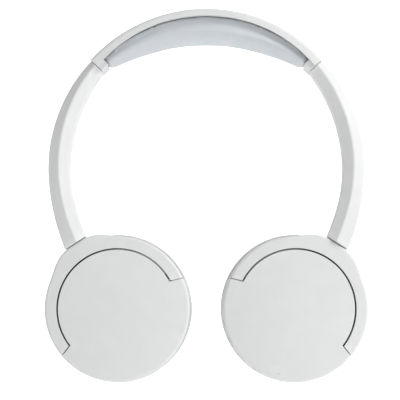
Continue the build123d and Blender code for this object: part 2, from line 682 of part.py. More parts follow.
def hanger():
    """C-shaped hanger with a raised shoulder, hollow behind its outer face."""
    body = domed(shoulder_outline(), HANGER_BACK, 0)
    body = fillet(body.edges().filter_by(lambda e: e.center().Y < 0), RIM_ROUND)
    region = above_tips(TIP_GAP, COVER_RADIUS) - Circle(DRUM_RADIUS + ARC_GAP)
    body = body & slab(region, -FAR, FAR)
    body = fillet(front_arc(body, DRUM_RADIUS + ARC_GAP), ARC_ROUND)
    for channel in hanger_channels():
        body -= slab(channel, HANGER_FLOOR - DOME_FRONT + DOME_RISE, FAR)
    for pin in tilt_pins():
        body -= pin
    return body - swivel_shaft() - rod(SHAFT_BORE, (0, 0, 0), (0, 0, SHOULDER))


def front_arc(body, radius):
    """The front edge of a wall that is round about the middle of the cup."""
    walls = body.faces().filter_by(GeomType.CYLINDER).filter_by(
        lambda f: abs(f.center().Y) < DOME_FRONT and abs(f.radius - radius) < ARC_ROUND
    )
    return [wall.edges().sort_by(Axis.Y)[0] for wall in walls]


def hanger_lids():
    """Lids that close the hanger's channels at the back."""
    lids = []
    for channel in hanger_channels():
        lids.append(slab(channel, HANGER_BACK - HANGER_LID, HANGER_BACK))
    return lids


def tilt_pins():
    """Pins between hanger and cup, one at each tip."""
    inner = DRUM_RADIUS - PIN_IN_DRUM
    outer = DRUM_RADIUS + ARC_GAP + PIN_IN_HANGER
    return [rod(PIN_RADIUS, (side * inner, 0, 0), (side * outer, 0, 0)) for side in (1, -1)]


# ---- cup ---------------------------------------------------------------------
def screw_points():
    return [
        (SCREW_CIRCLE * cos(radians(angle)), SCREW_CIRCLE * sin(radians(angle)))
        for angle in SCREW_ANGLES
    ]


def on_rim(radius, angle, depth):
    """Point of the right cup, at an angle below the line to the other cup."""
    turned = radians(180 + angle + AXIS_ANGLE)
    return (radius * cos(turned), depth, radius * sin(turned))


def rim_plane(angle, depth):
    """Plane on the cup's rim: local x along the rim, local y the depth, z outwards."""
    outwards = on_rim(1, angle, 0)
    return Plane(
        origin=on_rim(COVER_RADIUS, angle, depth),
        x_dir=(outwards[2], 0, -outwards[0]),
        z_dir=outwards,
    )


def rim_ring(inner, outer):
    return tube(outer, inner, -FAR, FAR)


def outer_cover():
    """Front shell of the cup, with the round drum that the hanger reaches around."""
    body = domed(Circle(COVER_RADIUS), SPLIT, 0)
    body = fillet(body.edges().sort_by(Axis.Y)[0], RIM_ROUND)
    body -= slab(above_tips(0, COVER_RADIUS), -FAR, FAR)
    lip = domed(Circle(DRUM_RADIUS), DRUM_LIP - DOME_FRONT, 0)
    lip = fillet(lip.edges().sort_by(Axis.Y)[0], ARC_ROUND)
    body += lip + domed(Circle(DRUM_RADIUS - DRUM_NECK), SPLIT, 0)
    solid_region = above_tips(-CUP_WALL, COVER_RADIUS) - Circle(DRUM_INSIDE)
    body -= domed(Circle(COVER_RADIUS - CUP_WALL) - solid_region, FAR, CUP_WALL)
    return with_pin_bosses(with_posts(body))


def with_posts(body):
    """The cover with the posts that its screws go into."""
    face = domed(Circle(DRUM_RADIUS - CUP_WALL / 2), SPLIT, CUP_WALL / 2)
    for x, z in screw_points():
        body += rod(POST_RADIUS, (x, -DOME_FRONT, z), (x, SPLIT, z)) & face
        body -= rod(SCREW_RADIUS, (x, SPLIT - SCREW_GRIP, z), (x, SPLIT + OVERCUT, z))
    return body


def with_pin_bosses(body):
    """The cover with the bosses that its tilt pins turn in."""
    hole = DRUM_RADIUS - PIN_IN_DRUM - PIN_END_ROOM
    boss_end = DRUM_RADIUS - DRUM_NECK - CUP_WALL / 2
    for side in (-1, 1):
        body += rod(PIN_BOSS_RADIUS, (side * (hole - PIN_BOSS_WALL), 0, 0), (side * boss_end, 0, 0))
        body -= rod(PIN_RADIUS + PIN_FIT, (side * hole, 0, 0), (side * COVER_RADIUS, 0, 0))
    return body


def housing():
    """Rear ring of the cup with a shelf behind the hanger."""
    wall = tube(CUP_RADIUS, CUP_RADIUS - CUP_WALL, SPLIT, HOUSING_BACK)
    outer_edges = wall.edges().filter_by(GeomType.CIRCLE).sort_by(SortBy.LENGTH)[-2:]
    wall = fillet(outer_edges, HOUSING_ROUND)
    return wall + tube(CUP_RADIUS - CUP_WALL / 2, SHELF_INNER, SPLIT, SPLIT + SHELF_THICKNESS)


def baffle():
    """Plate that carries the driver and closes the cup under the ear pad."""
    plate = slab(Circle(CUP_RADIUS - CUP_WALL), HOUSING_BACK - BAFFLE_THICKNESS, HOUSING_BACK)
    for x, z in screw_points():
        plate += rod(POST_RADIUS, (x, SPLIT, z), (x, HOUSING_BACK, z))
    plate -= slab(Circle(DRIVER_RADIUS + DRIVER_FIT), SPLIT, FAR)
    flange = DRIVER_RADIUS + DRIVER_FLANGE + DRIVER_FIT
    plate -= slab(Circle(flange), HOUSING_BACK - DRIVER_FLANGE_THICKNESS, FAR)
    for screw in cup_screws():
        plate -= screw
    vents = PolarLocations(SCREW_CIRCLE, VENT_COUNT, start_angle=90 / VENT_COUNT)
    for vent in vents.locations:
        x, z = vent.position.X, vent.position.Y
        plate -= rod(GRILLE_HOLE, (x, SPLIT, z), (x, FAR, z))
    return plate


def cup_screws():
    """Screws through the baffle into the cover's posts."""
    screws = []
    for x, z in screw_points():
        shank = rod(SCREW_RADIUS, (x, SPLIT - SCREW_GRIP, z), (x, HOUSING_BACK, z))
        head = rod(SCREW_HEAD_RADIUS, (x, HOUSING_BACK - SCREW_HEAD, z), (x, HOUSING_BACK, z))
        screws.append(shank + head)
    return screws


def driver_frame():
    """Basket of the driver with its mounting flange."""
    top = HOUSING_BACK
    seat = top - DRIVER_FLANGE_THICKNESS
    body = tube(DRIVER_RADIUS, DRIVER_RADIUS - DRIVER_WALL, seat - DRIVER_DEPTH, seat)
    body += tube(DRIVER_RADIUS + DRIVER_FLANGE, DRIVER_RADIUS - DRIVER_WALL / 2, seat, top)
    floor = seat - DRIVER_DEPTH
    return body + tube(DRIVER_RADIUS - DRIVER_WALL / 2, MAGNET_RADIUS, floor, floor + DRIVER_WALL)


def driver_magnet():
    floor = HOUSING_BACK - DRIVER_FLANGE_THICKNESS - DRIVER_DEPTH
    magnet = slab(Circle(MAGNET_RADIUS), floor + DRIVER_WALL - MAGNET_LENGTH, floor + DRIVER_WALL)
    return chamfer(magnet.edges(), MAGNET_EDGE)


def driver_diaphragm():
    """Thin dome on the basket's rim."""
    base = HOUSING_BACK - DRIVER_FLANGE_THICKNESS
    rim = DRIVER_RADIUS - DRIVER_WALL / 2
    edge = DRIVER_RADIUS - DRIVER_WALL - SURROUND_WIDTH
    under = [(0, base), (edge / 2, base - DIAPHRAGM_RISE), (edge, base), (rim, base)]
    over = [(radius, height + DIAPHRAGM_THICKNESS) for radius, height in reversed(under)]
    profile = Polyline(*under, *over, close=True)
    return revolve(make_face(profile), Axis.Y)


def driver_grille():
    """Perforated disc over the driver."""
    plate = Circle(DRIVER_RADIUS + DRIVER_FLANGE)
    reach = DRIVER_RADIUS - DRIVER_WALL
    rows = 2 * round(reach / GRILLE_PITCH) - 1
    holes = HexLocations(GRILLE_PITCH / 2, rows, rows)
    for place in holes.locations:
        if place.position.length < reach:
            plate -= place * Circle(GRILLE_HOLE)
    return slab(plate, HOUSING_BACK, HOUSING_BACK + GRILLE_THICKNESS)


def pad_ring():
    """Ring that clips the ear pad to the housing."""
    inner = PAD_RING_RADIUS - PAD_RING_WIDTH
    return tube(PAD_RING_RADIUS, inner, HOUSING_BACK, PAD_SEAT)


def ear_pad():
    """Soft ring that rests on the ear."""
    pad = tube(EAR_PAD_RADIUS, EAR_PAD_OPENING, PAD_SEAT, PAD_FRONT)
    front = pad.faces().sort_by(Axis.Y)[-1].edges().sort_by(SortBy.LENGTH)
    pad = fillet(front[-1], EAR_PAD_OUTER_ROUND)
    front = pad.faces().sort_by(Axis.Y)[-1].edges().sort_by(SortBy.LENGTH)
    return fillet(front[0], EAR_PAD_INNER_ROUND)


def battery():
    """Flat lithium cell behind the left cup's outer face."""
    width, depth, height = BATTERY_SIZE
    cell = Box(width, depth, height, align=(Align.CENTER, Align.MIN, Align.CENTER))
    return Pos(0, BATTERY_FRONT, 0) * fillet(cell.edges(), BATTERY_CORNER)


# ---- right cup's electronics and controls ------------------------------------
def main_board():
    """Circuit board in the lower part of the right cup."""
    outline = Circle(BOARD_RADIUS)
    outline -= Pos(0, BOARD_TOP + BOARD_RADIUS) * Rectangle(4 * BOARD_RADIUS, 2 * BOARD_RADIUS)
    board = slab(outline, BOARD_FRONT, BOARD_FRONT + BOARD_THICKNESS)
    for x, z in screw_points():
        board -= rod(POST_RADIUS + POST_FIT, (x, -FAR, z), (x, FAR, z))
    return board


def on_wall(angle, outline):
    """An outline on the rim's wall, drawn out far to both sides of it."""
    plane = rim_plane(angle, BUTTON_DEPTH_PLACE)
    return extrude(plane * outline, amount=COVER_RADIUS / 4, both=True)


def button(angle):
    """Pill-shaped button with a retaining flange and a stem behind it."""
    pill = SlotOverall(BUTTON_LENGTH, BUTTON_HEIGHT)
    wide = SlotOverall(
        BUTTON_LENGTH + 2 * BUTTON_FLANGE_EDGE, BUTTON_HEIGHT + 2 * BUTTON_FLANGE_EDGE
    )
    wall_inside = COVER_RADIUS - CUP_WALL
    flange_top = wall_inside - BUTTON_FLANGE_GAP
    flange_low = flange_top - BUTTON_FLANGE
    cap = on_wall(angle, pill) & rim_ring(flange_low, COVER_RADIUS + BUTTON_PROUD)
    flange = on_wall(angle, wide) & rim_ring(flange_low, flange_top)
    stem_end = BOARD_RADIUS + BUTTON_TRAVEL + BUTTON_STEM_GAP
    ends = [on_rim(radius, angle, BUTTON_DEPTH_PLACE) for radius in (stem_end, wall_inside)]
    return cap + flange + rod(BUTTON_STEM_RADIUS, *ends)


def button_slot(angle):
    room = 2 * BUTTON_FIT
    return on_wall(angle, SlotOverall(BUTTON_LENGTH + room, BUTTON_HEIGHT + room))


def side_switches():
    """Small push switches on the board, one behind each button."""
    switches = []
    width, depth, length = SWITCH_SIZE
    for angle in BUTTON_ANGLES.values():
        plane = rim_plane(angle, BOARD_FRONT - depth / 2)
        block = Box(width, depth, length, align=(Align.CENTER, Align.CENTER, Align.MAX))
        switches.append(plane * Pos(0, 0, BOARD_RADIUS - COVER_RADIUS) * block)
    return switches


def port_outline(room):
    return SlotOverall(PORT_WIDTH + 2 * room, PORT_HEIGHT + 2 * room)


def port_plane():
    return rim_plane(PORT_ANGLE, BOARD_FRONT - PORT_HEIGHT / 2)


def charging_port():
    """Metal shell of the charging socket and the tongue inside it."""
    wall = port_outline(0) - port_outline(-PORT_WALL)
    shell = extrude(Pos(0, 0, -PORT_RECESS) * wall, amount=-PORT_DEPTH)
    bottom = Pos(0, 0, -PORT_RECESS - PORT_DEPTH)
    floor = extrude(bottom * port_outline(0), amount=-PORT_FLOOR)
    tongue = bottom * Box(*PORT_TONGUE, align=(Align.CENTER, Align.CENTER, Align.MIN))
    return port_plane() * (shell + floor + tongue)


def port_hole():
    depth = PORT_DEPTH + PORT_FLOOR + OVERCUT
    return port_plane() * extrude(port_outline(PORT_FIT), amount=depth, both=True)


def status_light():
    """Clear light guide beside the power button."""
    angle = control_angle(LIGHT_PLACE)
    ends = [on_rim(radius, angle, 0) for radius in (BOARD_RADIUS, COVER_RADIUS)]
    return rod(LIGHT_RADIUS, *ends)


def microphone_rod(radius, front, back):
    """A round bar just inside the cover's wall, square to its face."""
    reach = COVER_RADIUS - CUP_WALL - MICROPHONE_GAP - MICROPHONE_RADIUS
    angle = control_angle(MICROPHONE_PLACE)
    return rod(radius, *[on_rim(reach, angle, depth) for depth in (front, back)])


def microphone():
    """Microphone capsule seated on the inside of the face, near its lower edge."""
    back = DOME_RISE - DOME_FRONT + CUP_WALL + MICROPHONE_LENGTH
    inside = domed(Circle(COVER_RADIUS), back, CUP_WALL)
    return microphone_rod(MICROPHONE_RADIUS, -DOME_FRONT, back) & inside


def right_cover():
    """The outer cover of the right cup, with its openings for the controls."""
    cover = outer_cover()
    for angle in BUTTON_ANGLES.values():
        cover -= button_slot(angle)
    cover -= microphone_rod(MICROPHONE_HOLE, -FAR, 0)
    return cover - status_light() - port_hole()


# ---- the whole object --------------------------------------------------------
def as_list(shape):
    return shape if isinstance(shape, list) else [shape]


def arm_parts():
    outer_half, inner_half = arm_halves()
    return {
        "arm_outer": outer_half,
        "arm_inner": inner_half,
        "slider_guide": slider_guide(),
        "detent_leaf": detent_leaf(),
        "swivel_bush": swivel_bush(),
        "arm_screw": arm_screw(),
        "slider_strip": slider_strip(),
    }


def cup_parts():
    """Pieces of hanger and cup that both sides share, about the cup's centre."""
    return {
        "hanger": hanger(),
        "hanger_lids": hanger_lids(),
        "swivel_shaft": swivel_shaft(),
        "swivel_clip": swivel_clip(),
        "tilt_pins": tilt_pins(),
        "housing": housing(),
        "baffle": baffle(),
        "cup_screws": cup_screws(),
        "driver_frame": driver_frame(),
        "driver_magnet": driver_magnet(),
        "driver_diaphragm": driver_diaphragm(),
        "driver_grille": driver_grille(),
        "pad_ring": pad_ring(),
        "ear_pad": ear_pad(),
    }


def control_parts():
    controls = {name + "_button": button(angle) for name, angle in BUTTON_ANGLES.items()}
    controls["main_board"] = main_board()
    controls["side_switches"] = side_switches()
    controls["charging_port"] = charging_port()
    controls["status_light"] = status_light()
    controls["microphone"] = microphone()
    return controls


def build():
    parts = {
        "headband_cover": headband_cover(),
        "band_tray": band_tray(),
        "spring_band": spring_band(),
        "pad_plate": pad_plate(),
        "headband_pad": headband_pad(),
        "strip_screws": strip_screws(),
    }
    sided = {name: as_list(shape) for name, shape in arm_parts().items()}
    for name, shape in cup_parts().items():
        sided[name] = [CUP_PLACE * piece for piece in as_list(shape)]
    for name, pieces in sided.items():
        parts[name + "_right"] = pieces
        parts[name + "_left"] = [mirror(piece, about=Plane.YZ) for piece in pieces]
    parts["outer_cover_right"] = CUP_PLACE * right_cover()
    parts["outer_cover_left"] = mirror(CUP_PLACE * outer_cover(), about=Plane.YZ)
    parts["battery"] = mirror(CUP_PLACE * battery(), about=Plane.YZ)
    for name, shape in control_parts().items():
        parts[name] = [CUP_PLACE * piece for piece in as_list(shape)]
    return parts


def export():
    os.makedirs("parts", exist_ok=True)
    for name, shape in build().items():
        solids = [STAND * solid for piece in as_list(shape) for solid in piece.solids()]
        body = solids[0] if len(solids) == 1 else Compound(children=solids)
        export_step(body, "parts/" + name + ".step")


export()
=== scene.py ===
import json
import math

import bpy
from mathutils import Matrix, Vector, noise


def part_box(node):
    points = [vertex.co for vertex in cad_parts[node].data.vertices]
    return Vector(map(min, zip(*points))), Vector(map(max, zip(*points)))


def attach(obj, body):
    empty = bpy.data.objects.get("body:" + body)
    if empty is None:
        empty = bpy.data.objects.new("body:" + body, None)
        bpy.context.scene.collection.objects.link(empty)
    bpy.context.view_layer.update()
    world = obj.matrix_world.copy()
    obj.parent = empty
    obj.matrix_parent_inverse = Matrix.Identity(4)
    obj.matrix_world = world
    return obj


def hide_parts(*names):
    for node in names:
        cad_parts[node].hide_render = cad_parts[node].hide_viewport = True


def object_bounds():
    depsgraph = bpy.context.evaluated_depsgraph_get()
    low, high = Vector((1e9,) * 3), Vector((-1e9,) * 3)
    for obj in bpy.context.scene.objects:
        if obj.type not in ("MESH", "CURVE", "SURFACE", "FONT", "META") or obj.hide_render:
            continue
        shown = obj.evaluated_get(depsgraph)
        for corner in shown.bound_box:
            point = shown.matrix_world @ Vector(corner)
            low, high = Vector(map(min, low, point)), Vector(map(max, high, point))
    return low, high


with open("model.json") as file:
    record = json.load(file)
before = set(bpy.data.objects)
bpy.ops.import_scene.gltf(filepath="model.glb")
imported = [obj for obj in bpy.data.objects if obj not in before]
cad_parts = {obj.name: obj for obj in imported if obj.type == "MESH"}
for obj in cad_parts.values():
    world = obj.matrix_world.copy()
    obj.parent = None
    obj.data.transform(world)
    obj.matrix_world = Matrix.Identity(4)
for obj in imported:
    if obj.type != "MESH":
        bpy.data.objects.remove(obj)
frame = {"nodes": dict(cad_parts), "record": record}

cad_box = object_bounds()
NODES = frame["nodes"]
MM = 0.001

# ---- places on the object, in metres --------------------------------------------
COVER_LOW, COVER_HIGH = [Vector(corner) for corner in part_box("headband_cover")]
OBJECT_LOW, OBJECT_HIGH = [Vector(corner) for corner in cad_box]
MIDDLE = (OBJECT_LOW + OBJECT_HIGH) / 2

# ---- camera and light ---------------------------------------------------------
CAMERA_DISTANCE = 0.70
CAMERA_HEIGHT = 0.045
VIEW_CENTRE = Vector((-0.0032, COVER_LOW.y, 0.0935))
VIEW_WIDTH = 0.2031
SENSOR = 36.0
NEAREST = 0.01
WORLD_COLOUR = (0.98, 0.99, 1.0, 1.0)
WORLD_LIGHT = 0.42
WORLD_SEEN = 1.0
KEY_PLACE = (1.1, -0.55, 0.85)
KEY_SIZE = 0.7
KEY_POWER = 11.2
TOP_PLACE = (0.25, -0.5, 1.5)
TOP_SIZE = 0.9
TOP_POWER = 3.4

STAGE_COLOUR = (0.9, 0.9, 0.9, 1.0)
STAGE_ROUGHNESS = 0.9
STAGE_GLOW = 0.3
STAGE_SEEN = 0.85
STAGE_DROP = 0.06           # the floor lies this far under the cups, to let them slide down
STAGE_HALF_WIDTH = 2.0
STAGE_FRONT = -3.0
STAGE_BACK = 1.2
STAGE_RISE = 2.2
STAGE_BEND = 0.5
STAGE_BEND_STEPS = 12


def add_camera():
    data = bpy.data.cameras.new("camera")
    data.sensor_width = SENSOR
    camera = bpy.data.objects.new("camera", data)
    camera.location = (0, VIEW_CENTRE.y - CAMERA_DISTANCE, CAMERA_HEIGHT)
    aim = VIEW_CENTRE - camera.location
    camera.rotation_euler = aim.to_track_quat("-Z", "Y").to_euler()
    data.lens = SENSOR * aim.length / VIEW_WIDTH
    data.clip_start = NEAREST
    bpy.context.collection.objects.link(camera)
    bpy.context.scene.camera = camera


def add_area(name, place, target, size, power):
    data = bpy.data.lights.new(name, "AREA")
    data.shape = "DISK"
    data.size = size
    data.energy = power
    light = bpy.data.objects.new(name, data)
    light.location = place
    aim = Vector(target) - Vector(place)
    light.rotation_euler = aim.to_track_quat("-Z", "Y").to_euler()
    bpy.context.collection.objects.link(light)


def feed_camera_split(tree, socket, as_light, as_seen):
    """Gives a strength one value as a light and another to the eye."""
    seen = tree.nodes.new("ShaderNodeLightPath").outputs["Is Camera Ray"]
    strength = tree.nodes.new("ShaderNodeMapRange")
    strength.inputs["To Min"].default_value = as_light
    strength.inputs["To Max"].default_value = as_seen
    tree.links.new(seen, strength.inputs["Value"])
    tree.links.new(strength.outputs[0], socket)


def add_world():
    world = bpy.data.worlds.new("studio")
    world.use_nodes = True
    background = world.node_tree.nodes["Background"]
    background.inputs["Color"].default_value = WORLD_COLOUR
    feed_camera_split(
        world.node_tree, background.inputs["Strength"], WORLD_LIGHT, WORLD_SEEN
    )
    bpy.context.scene.world = world


def stage_material():
    """Glowing white that can be seen from its front only."""
    material, board, shader = new_material("stage_white")
    shader.inputs["Base Color"].default_value = STAGE_COLOUR
    shader.inputs["Roughness"].default_value = STAGE_ROUGHNESS
    shader.inputs["Emission Color"].default_value = (1.0, 1.0, 1.0, 1.0)
    feed_camera_split(board.tree, shader.inputs["Emission Strength"], STAGE_GLOW, STAGE_SEEN)
    behind = board.put("ShaderNodeNewGeometry").outputs["Backfacing"]
    board.link(board.maths("SUBTRACT", 1.0, behind), shader.inputs["Alpha"])
    return material


def stage_profile():
    """The floor's line from front to back, with its bend and the rise behind it."""
    profile = [(STAGE_FRONT, 0.0)]
    for i in range(STAGE_BEND_STEPS + 1):
        turn = math.radians(90 * i / STAGE_BEND_STEPS)
        across = STAGE_BACK - STAGE_BEND + STAGE_BEND * math.sin(turn)
        profile.append((across, STAGE_BEND - STAGE_BEND * math.cos(turn)))
    return profile + [(STAGE_BACK, STAGE_RISE)]


def add_stage():
    """A pale floor that sweeps up into a backdrop."""
    sides = (-STAGE_HALF_WIDTH, STAGE_HALF_WIDTH)
    profile = stage_profile()
    points = [(x, y, z - STAGE_DROP) for y, z in profile for x in sides]
    faces = [(2 * i, 2 * i + 1, 2 * i + 3, 2 * i + 2) for i in range(len(profile) - 1)]
    mesh = bpy.data.meshes.new("stage")
    mesh.from_pydata(points, [], faces)
    mesh.materials.append(stage_material())
    mesh.shade_smooth()
    stage = bpy.data.objects.new("stage", mesh)
    bpy.context.collection.objects.link(stage)


# ---- shader building ----------------------------------------------------------
class Board:
    """A node tree with a short way to place a node and feed its sockets."""

    def __init__(self, tree):
        self.tree = tree

    def put(self, kind, feeds=None, **settings):
        node = self.tree.nodes.new(kind)
        for name, value in settings.items():
            setattr(node, name, value)
        for socket, value in (feeds or {}).items():
            if isinstance(value, bpy.types.NodeSocket):
                self.link(value, node.inputs[socket])
            else:
                node.inputs[socket].default_value = value
        return node

    def link(self, source, target):
        self.tree.links.new(source, target)

    def maths(self, operation, first, second=0.0, third=0.0):
        node = self.put("ShaderNodeMath", {0: first, 1: second, 2: third}, operation=operation)
        return node.outputs[0]

    def ramp(self, value, low, high, to_low=0.0, to_high=1.0):
        feeds = {0: value, 1: low, 2: high, 3: to_low, 4: to_high}
        node = self.put("ShaderNodeMapRange", feeds, interpolation_type="SMOOTHSTEP")
        return node.outputs[0]

    def mix(self, share, first, second, blend="MIX"):
        node = self.put("ShaderNodeMix", {0: share, 6: first, 7: second}, data_type="RGBA")
        node.blend_type = blend
        return node.outputs[2]

    def noise(self, where, scale, detail=2.0, rough=0.5, distortion=0.0):
        feeds = {"Vector": where, "Scale": scale, "Detail": detail, "Roughness": rough}
        feeds["Distortion"] = distortion
        return self.put("ShaderNodeTexNoise", feeds).outputs[0]

    def place(self):
        return self.put("ShaderNodeTexCoord").outputs["Object"]

    def tint(self, base, mask, share, colour):
        """Mixes a share of a colour over the base where the mask is."""
        return self.mix(self.maths("MULTIPLY", mask, share), base, colour)

    def add(self, value, mask, amount):
        """Adds an amount to a value where the mask is."""
        return self.maths("MULTIPLY_ADD", mask, amount, value)


def new_material(name):
    """A material with its board and its shader."""
    material = bpy.data.materials.new(name)
    material.use_nodes = True
    return material, Board(material.node_tree), material.node_tree.nodes["Principled BSDF"]


def new_group(name, inputs, outputs):
    """A node group of plain numbers, with its board, its inputs and its output node."""
    group = bpy.data.node_groups.new(name, "ShaderNodeTree")
    for label, value in inputs.items():
        socket = group.interface.new_socket(
            label, in_out="INPUT", socket_type="NodeSocketFloat"
        )
        socket.default_value = value
    for label in outputs:
        group.interface.new_socket(label, in_out="OUTPUT", socket_type="NodeSocketFloat")
    board = Board(group)
    return board, board.put("NodeGroupInput").outputs, board.put("NodeGroupOutput")


def moulded_grain():
    """Fine spark texture of a moulded shell, with a faint orange peel under it."""
    board, given, out = new_group(
        "moulded_grain", {"Grain Scale": 2400.0, "Peel Scale": 160.0}, ["Height", "Tone"]
    )
    place = board.place()
    grain = board.noise(place, scale=given["Grain Scale"], detail=3.0, rough=0.6)
    peel = board.noise(place, scale=given["Peel Scale"], detail=1.0, rough=0.4)
    flow = board.noise(place, scale=22.0, detail=2.0, rough=0.5, distortion=0.8)
    height = board.add(grain, peel, 0.8)
    board.link(height, out.inputs["Height"])
    board.link(board.ramp(flow, low=0.35, high=0.65), out.inputs["Tone"])
    return board.tree


def handling_marks():
    """Soft smudges and short fine scuffs that hands leave."""
    board, given, out = new_group(
        "handling_marks", {"Smudge Scale": 48.0, "Scuff Scale": 260.0}, ["Smudge", "Scuff"]
    )
    place = board.place()
    smudge = board.noise(
        place, scale=given["Smudge Scale"], detail=4.0, rough=0.6, distortion=1.2
    )
    stretch = board.put("ShaderNodeMapping", {"Vector": place, "Scale": (1.0, 0.35, 0.12)})
    scuff = board.noise(stretch.outputs[0], scale=given["Scuff Scale"], detail=5.0, rough=0.75)
    scattered = board.noise(place, scale=31.0, detail=2.0, rough=0.5)
    strokes = board.ramp(scuff, low=0.63, high=0.7)
    places = board.ramp(scattered, low=0.5, high=0.7)
    lines = board.maths("MULTIPLY", strokes, places)
    board.link(board.ramp(smudge, low=0.42, high=0.68), out.inputs["Smudge"])
    board.link(lines, out.inputs["Scuff"])
    return board.tree


FLAT_POINTINESS = 0.5


def edge_rub():
    """Where edges stand out and get rubbed smooth."""
    board, given, out = new_group("edge_rub", {"Reach": 0.06}, ["Rub"])
    point = board.put("ShaderNodeNewGeometry").outputs["Pointiness"]
    above = board.maths("SUBTRACT", point, FLAT_POINTINESS)
    share = board.maths("DIVIDE", above, given["Reach"])
    patches = board.noise(board.place(), scale=420.0, detail=3.0, rough=0.6)
    broken = board.ramp(patches, low=0.35, high=0.6, to_low=0.4, to_high=1.0)
    rubbed = board.ramp(share, low=0.25, high=1.0)
    board.link(board.maths("MULTIPLY", rubbed, broken), out.inputs["Rub"])
    return board.tree


def leather_grain():
    """Pebbled cells between fine creases, with softer folds under them."""
    board, given, out = new_group(
        "leather_grain",
        {"Cell Scale": 900.0, "Fold Scale": 90.0, "Crease": 0.16},
        ["Height", "Crease", "Fold"],
    )
    place = board.place()
    warp = board.put("ShaderNodeTexNoise", {"Vector": place, "Scale": 420.0, "Detail": 2.0})
    feeds = {0: warp.outputs[1], 1: place, 2: place}
    moved = board.put("ShaderNodeVectorMath", feeds, operation="MULTIPLY_ADD")
    cells = board.put(
        "ShaderNodeTexVoronoi",
        {"Vector": moved.outputs[0], "Scale": given["Cell Scale"]},
        feature="DISTANCE_TO_EDGE",
    ).outputs["Distance"]
    pebble = board.ramp(board.maths("DIVIDE", cells, given["Crease"]), low=0.0, high=1.0)
    pores = board.noise(place, scale=3600.0, detail=2.0, rough=0.6)
    folds = board.noise(place, scale=given["Fold Scale"], detail=3.0, rough=0.55, distortion=1.5)
    height = board.add(pebble, pores, 0.25)
    board.link(height, out.inputs["Height"])
    board.link(board.maths("SUBTRACT", 1.0, pebble), out.inputs["Crease"])
    board.link(board.ramp(folds, low=0.3, high=0.7), out.inputs["Fold"])
    return board.tree


def painted_seam_shade():
    """Painted shade: skin that darkens towards the seam where the pad tucks in under the
    headband's lip, in place of the shadow in that recess.
    """
    board, given, out = new_group(
        "painted_seam_shade", {"Middle Z": 0.0, "Radius": 1.0, "Reach": 1.0}, ["Shade"]
    )
    place = board.put("ShaderNodeSeparateXYZ", {0: board.place()}).outputs
    up = board.maths("SUBTRACT", place["Z"], given["Middle Z"])
    squares = board.maths("MULTIPLY_ADD", up, up, board.maths("MULTIPLY", place["X"], place["X"]))
    below = board.maths("SUBTRACT", given["Radius"], board.maths("SQRT", squares))
    share = board.maths("DIVIDE", below, given["Reach"])
    shade_share = board.ramp(share, low=0.0, high=1.0, to_low=1.0, to_high=0.0)
    board.link(shade_share, out.inputs["Shade"])
    return board.tree


def painted_gap_shade():
    """Painted shade: near-black colour on the walls of the open gap around each cup's drum,
    standing in for the shadow deep in the gap.
    """
    board, given, out = new_group(
        "painted_gap_shade",
        {"Middle X": 0.0, "Middle Z": 0.0, "Radius": 1.0, "Reach": 1.0},
        ["Dust"],
    )
    source = board.put("ShaderNodeTexCoord").outputs
    place = board.put("ShaderNodeSeparateXYZ", {0: source["Object"]}).outputs
    facing = board.put("ShaderNodeSeparateXYZ", {0: source["Normal"]}).outputs["Y"]
    across = board.maths("SUBTRACT", board.maths("ABSOLUTE", place["X"]), given["Middle X"])
    up = board.maths("SUBTRACT", place["Z"], given["Middle Z"])
    squares = board.maths("MULTIPLY_ADD", up, up, board.maths("MULTIPLY", across, across))
    away = board.maths("SUBTRACT", board.maths("SQRT", squares), given["Radius"])
    share = board.maths("DIVIDE", board.maths("ABSOLUTE", away), given["Reach"])
    near = board.ramp(share, low=0.8, high=1.0, to_low=1.0, to_high=0.0)
    inside = board.ramp(facing, low=-0.8, high=-0.4)
    board.link(board.maths("MULTIPLY", near, inside), out.inputs["Dust"])
    return board.tree


def brushed_lines():
    """Long fine lines of brushed or rolled metal."""
    board, given, out = new_group("brushed_lines", {"Line Scale": 1500.0}, ["Height", "Tone"])
    place = board.place()
    stretch = board.put("ShaderNodeMapping", {"Vector": place, "Scale": (0.04, 1.0, 0.04)})
    lines = board.noise(stretch.outputs[0], scale=given["Line Scale"], detail=4.0, rough=0.7)
    cloud = board.noise(place, scale=120.0, detail=2.0, rough=0.5)
    board.link(lines, out.inputs["Height"])
    tone = board.add(board.maths("MULTIPLY", cloud, 0.4), lines, 0.6)
    board.link(tone, out.inputs["Tone"])
    return board.tree


add_camera()
add_stage()
add_world()
add_area("key", KEY_PLACE, MIDDLE, KEY_SIZE, KEY_POWER)
add_area("top", TOP_PLACE, MIDDLE, TOP_SIZE, TOP_POWER)
bpy.context.scene.view_settings.view_transform = "Standard"

GRAIN = moulded_grain()
MARKS = handling_marks()
RUB = edge_rub()
LEATHER = leather_grain()
GAP_SHADE_GROUP = painted_gap_shade()
SEAM_SHADE_GROUP = painted_seam_shade()
LINES = brushed_lines()


def use_group(board, group, feeds=None):
    node = board.put("ShaderNodeGroup")
    node.node_tree = group
    for socket, value in (feeds or {}).items():
        node.inputs[socket].default_value = value
    return node.outputs


def shade(colour, share):
    return (colour[0] * share, colour[1] * share, colour[2] * share, 1.0)


BUMP_STRENGTH = 0.6


def finish(board, shader, colour, roughness, height, depth):
    """Feeds the shader its colour, roughness and bump."""
    feeds = {"Height": height, "Distance": depth, "Strength": BUMP_STRENGTH}
    bump = board.put("ShaderNodeBump", feeds)
    board.link(colour, shader.inputs["Base Color"])
    board.link(roughness, shader.inputs["Roughness"])
    board.link(bump.outputs[0], shader.inputs["Normal"])


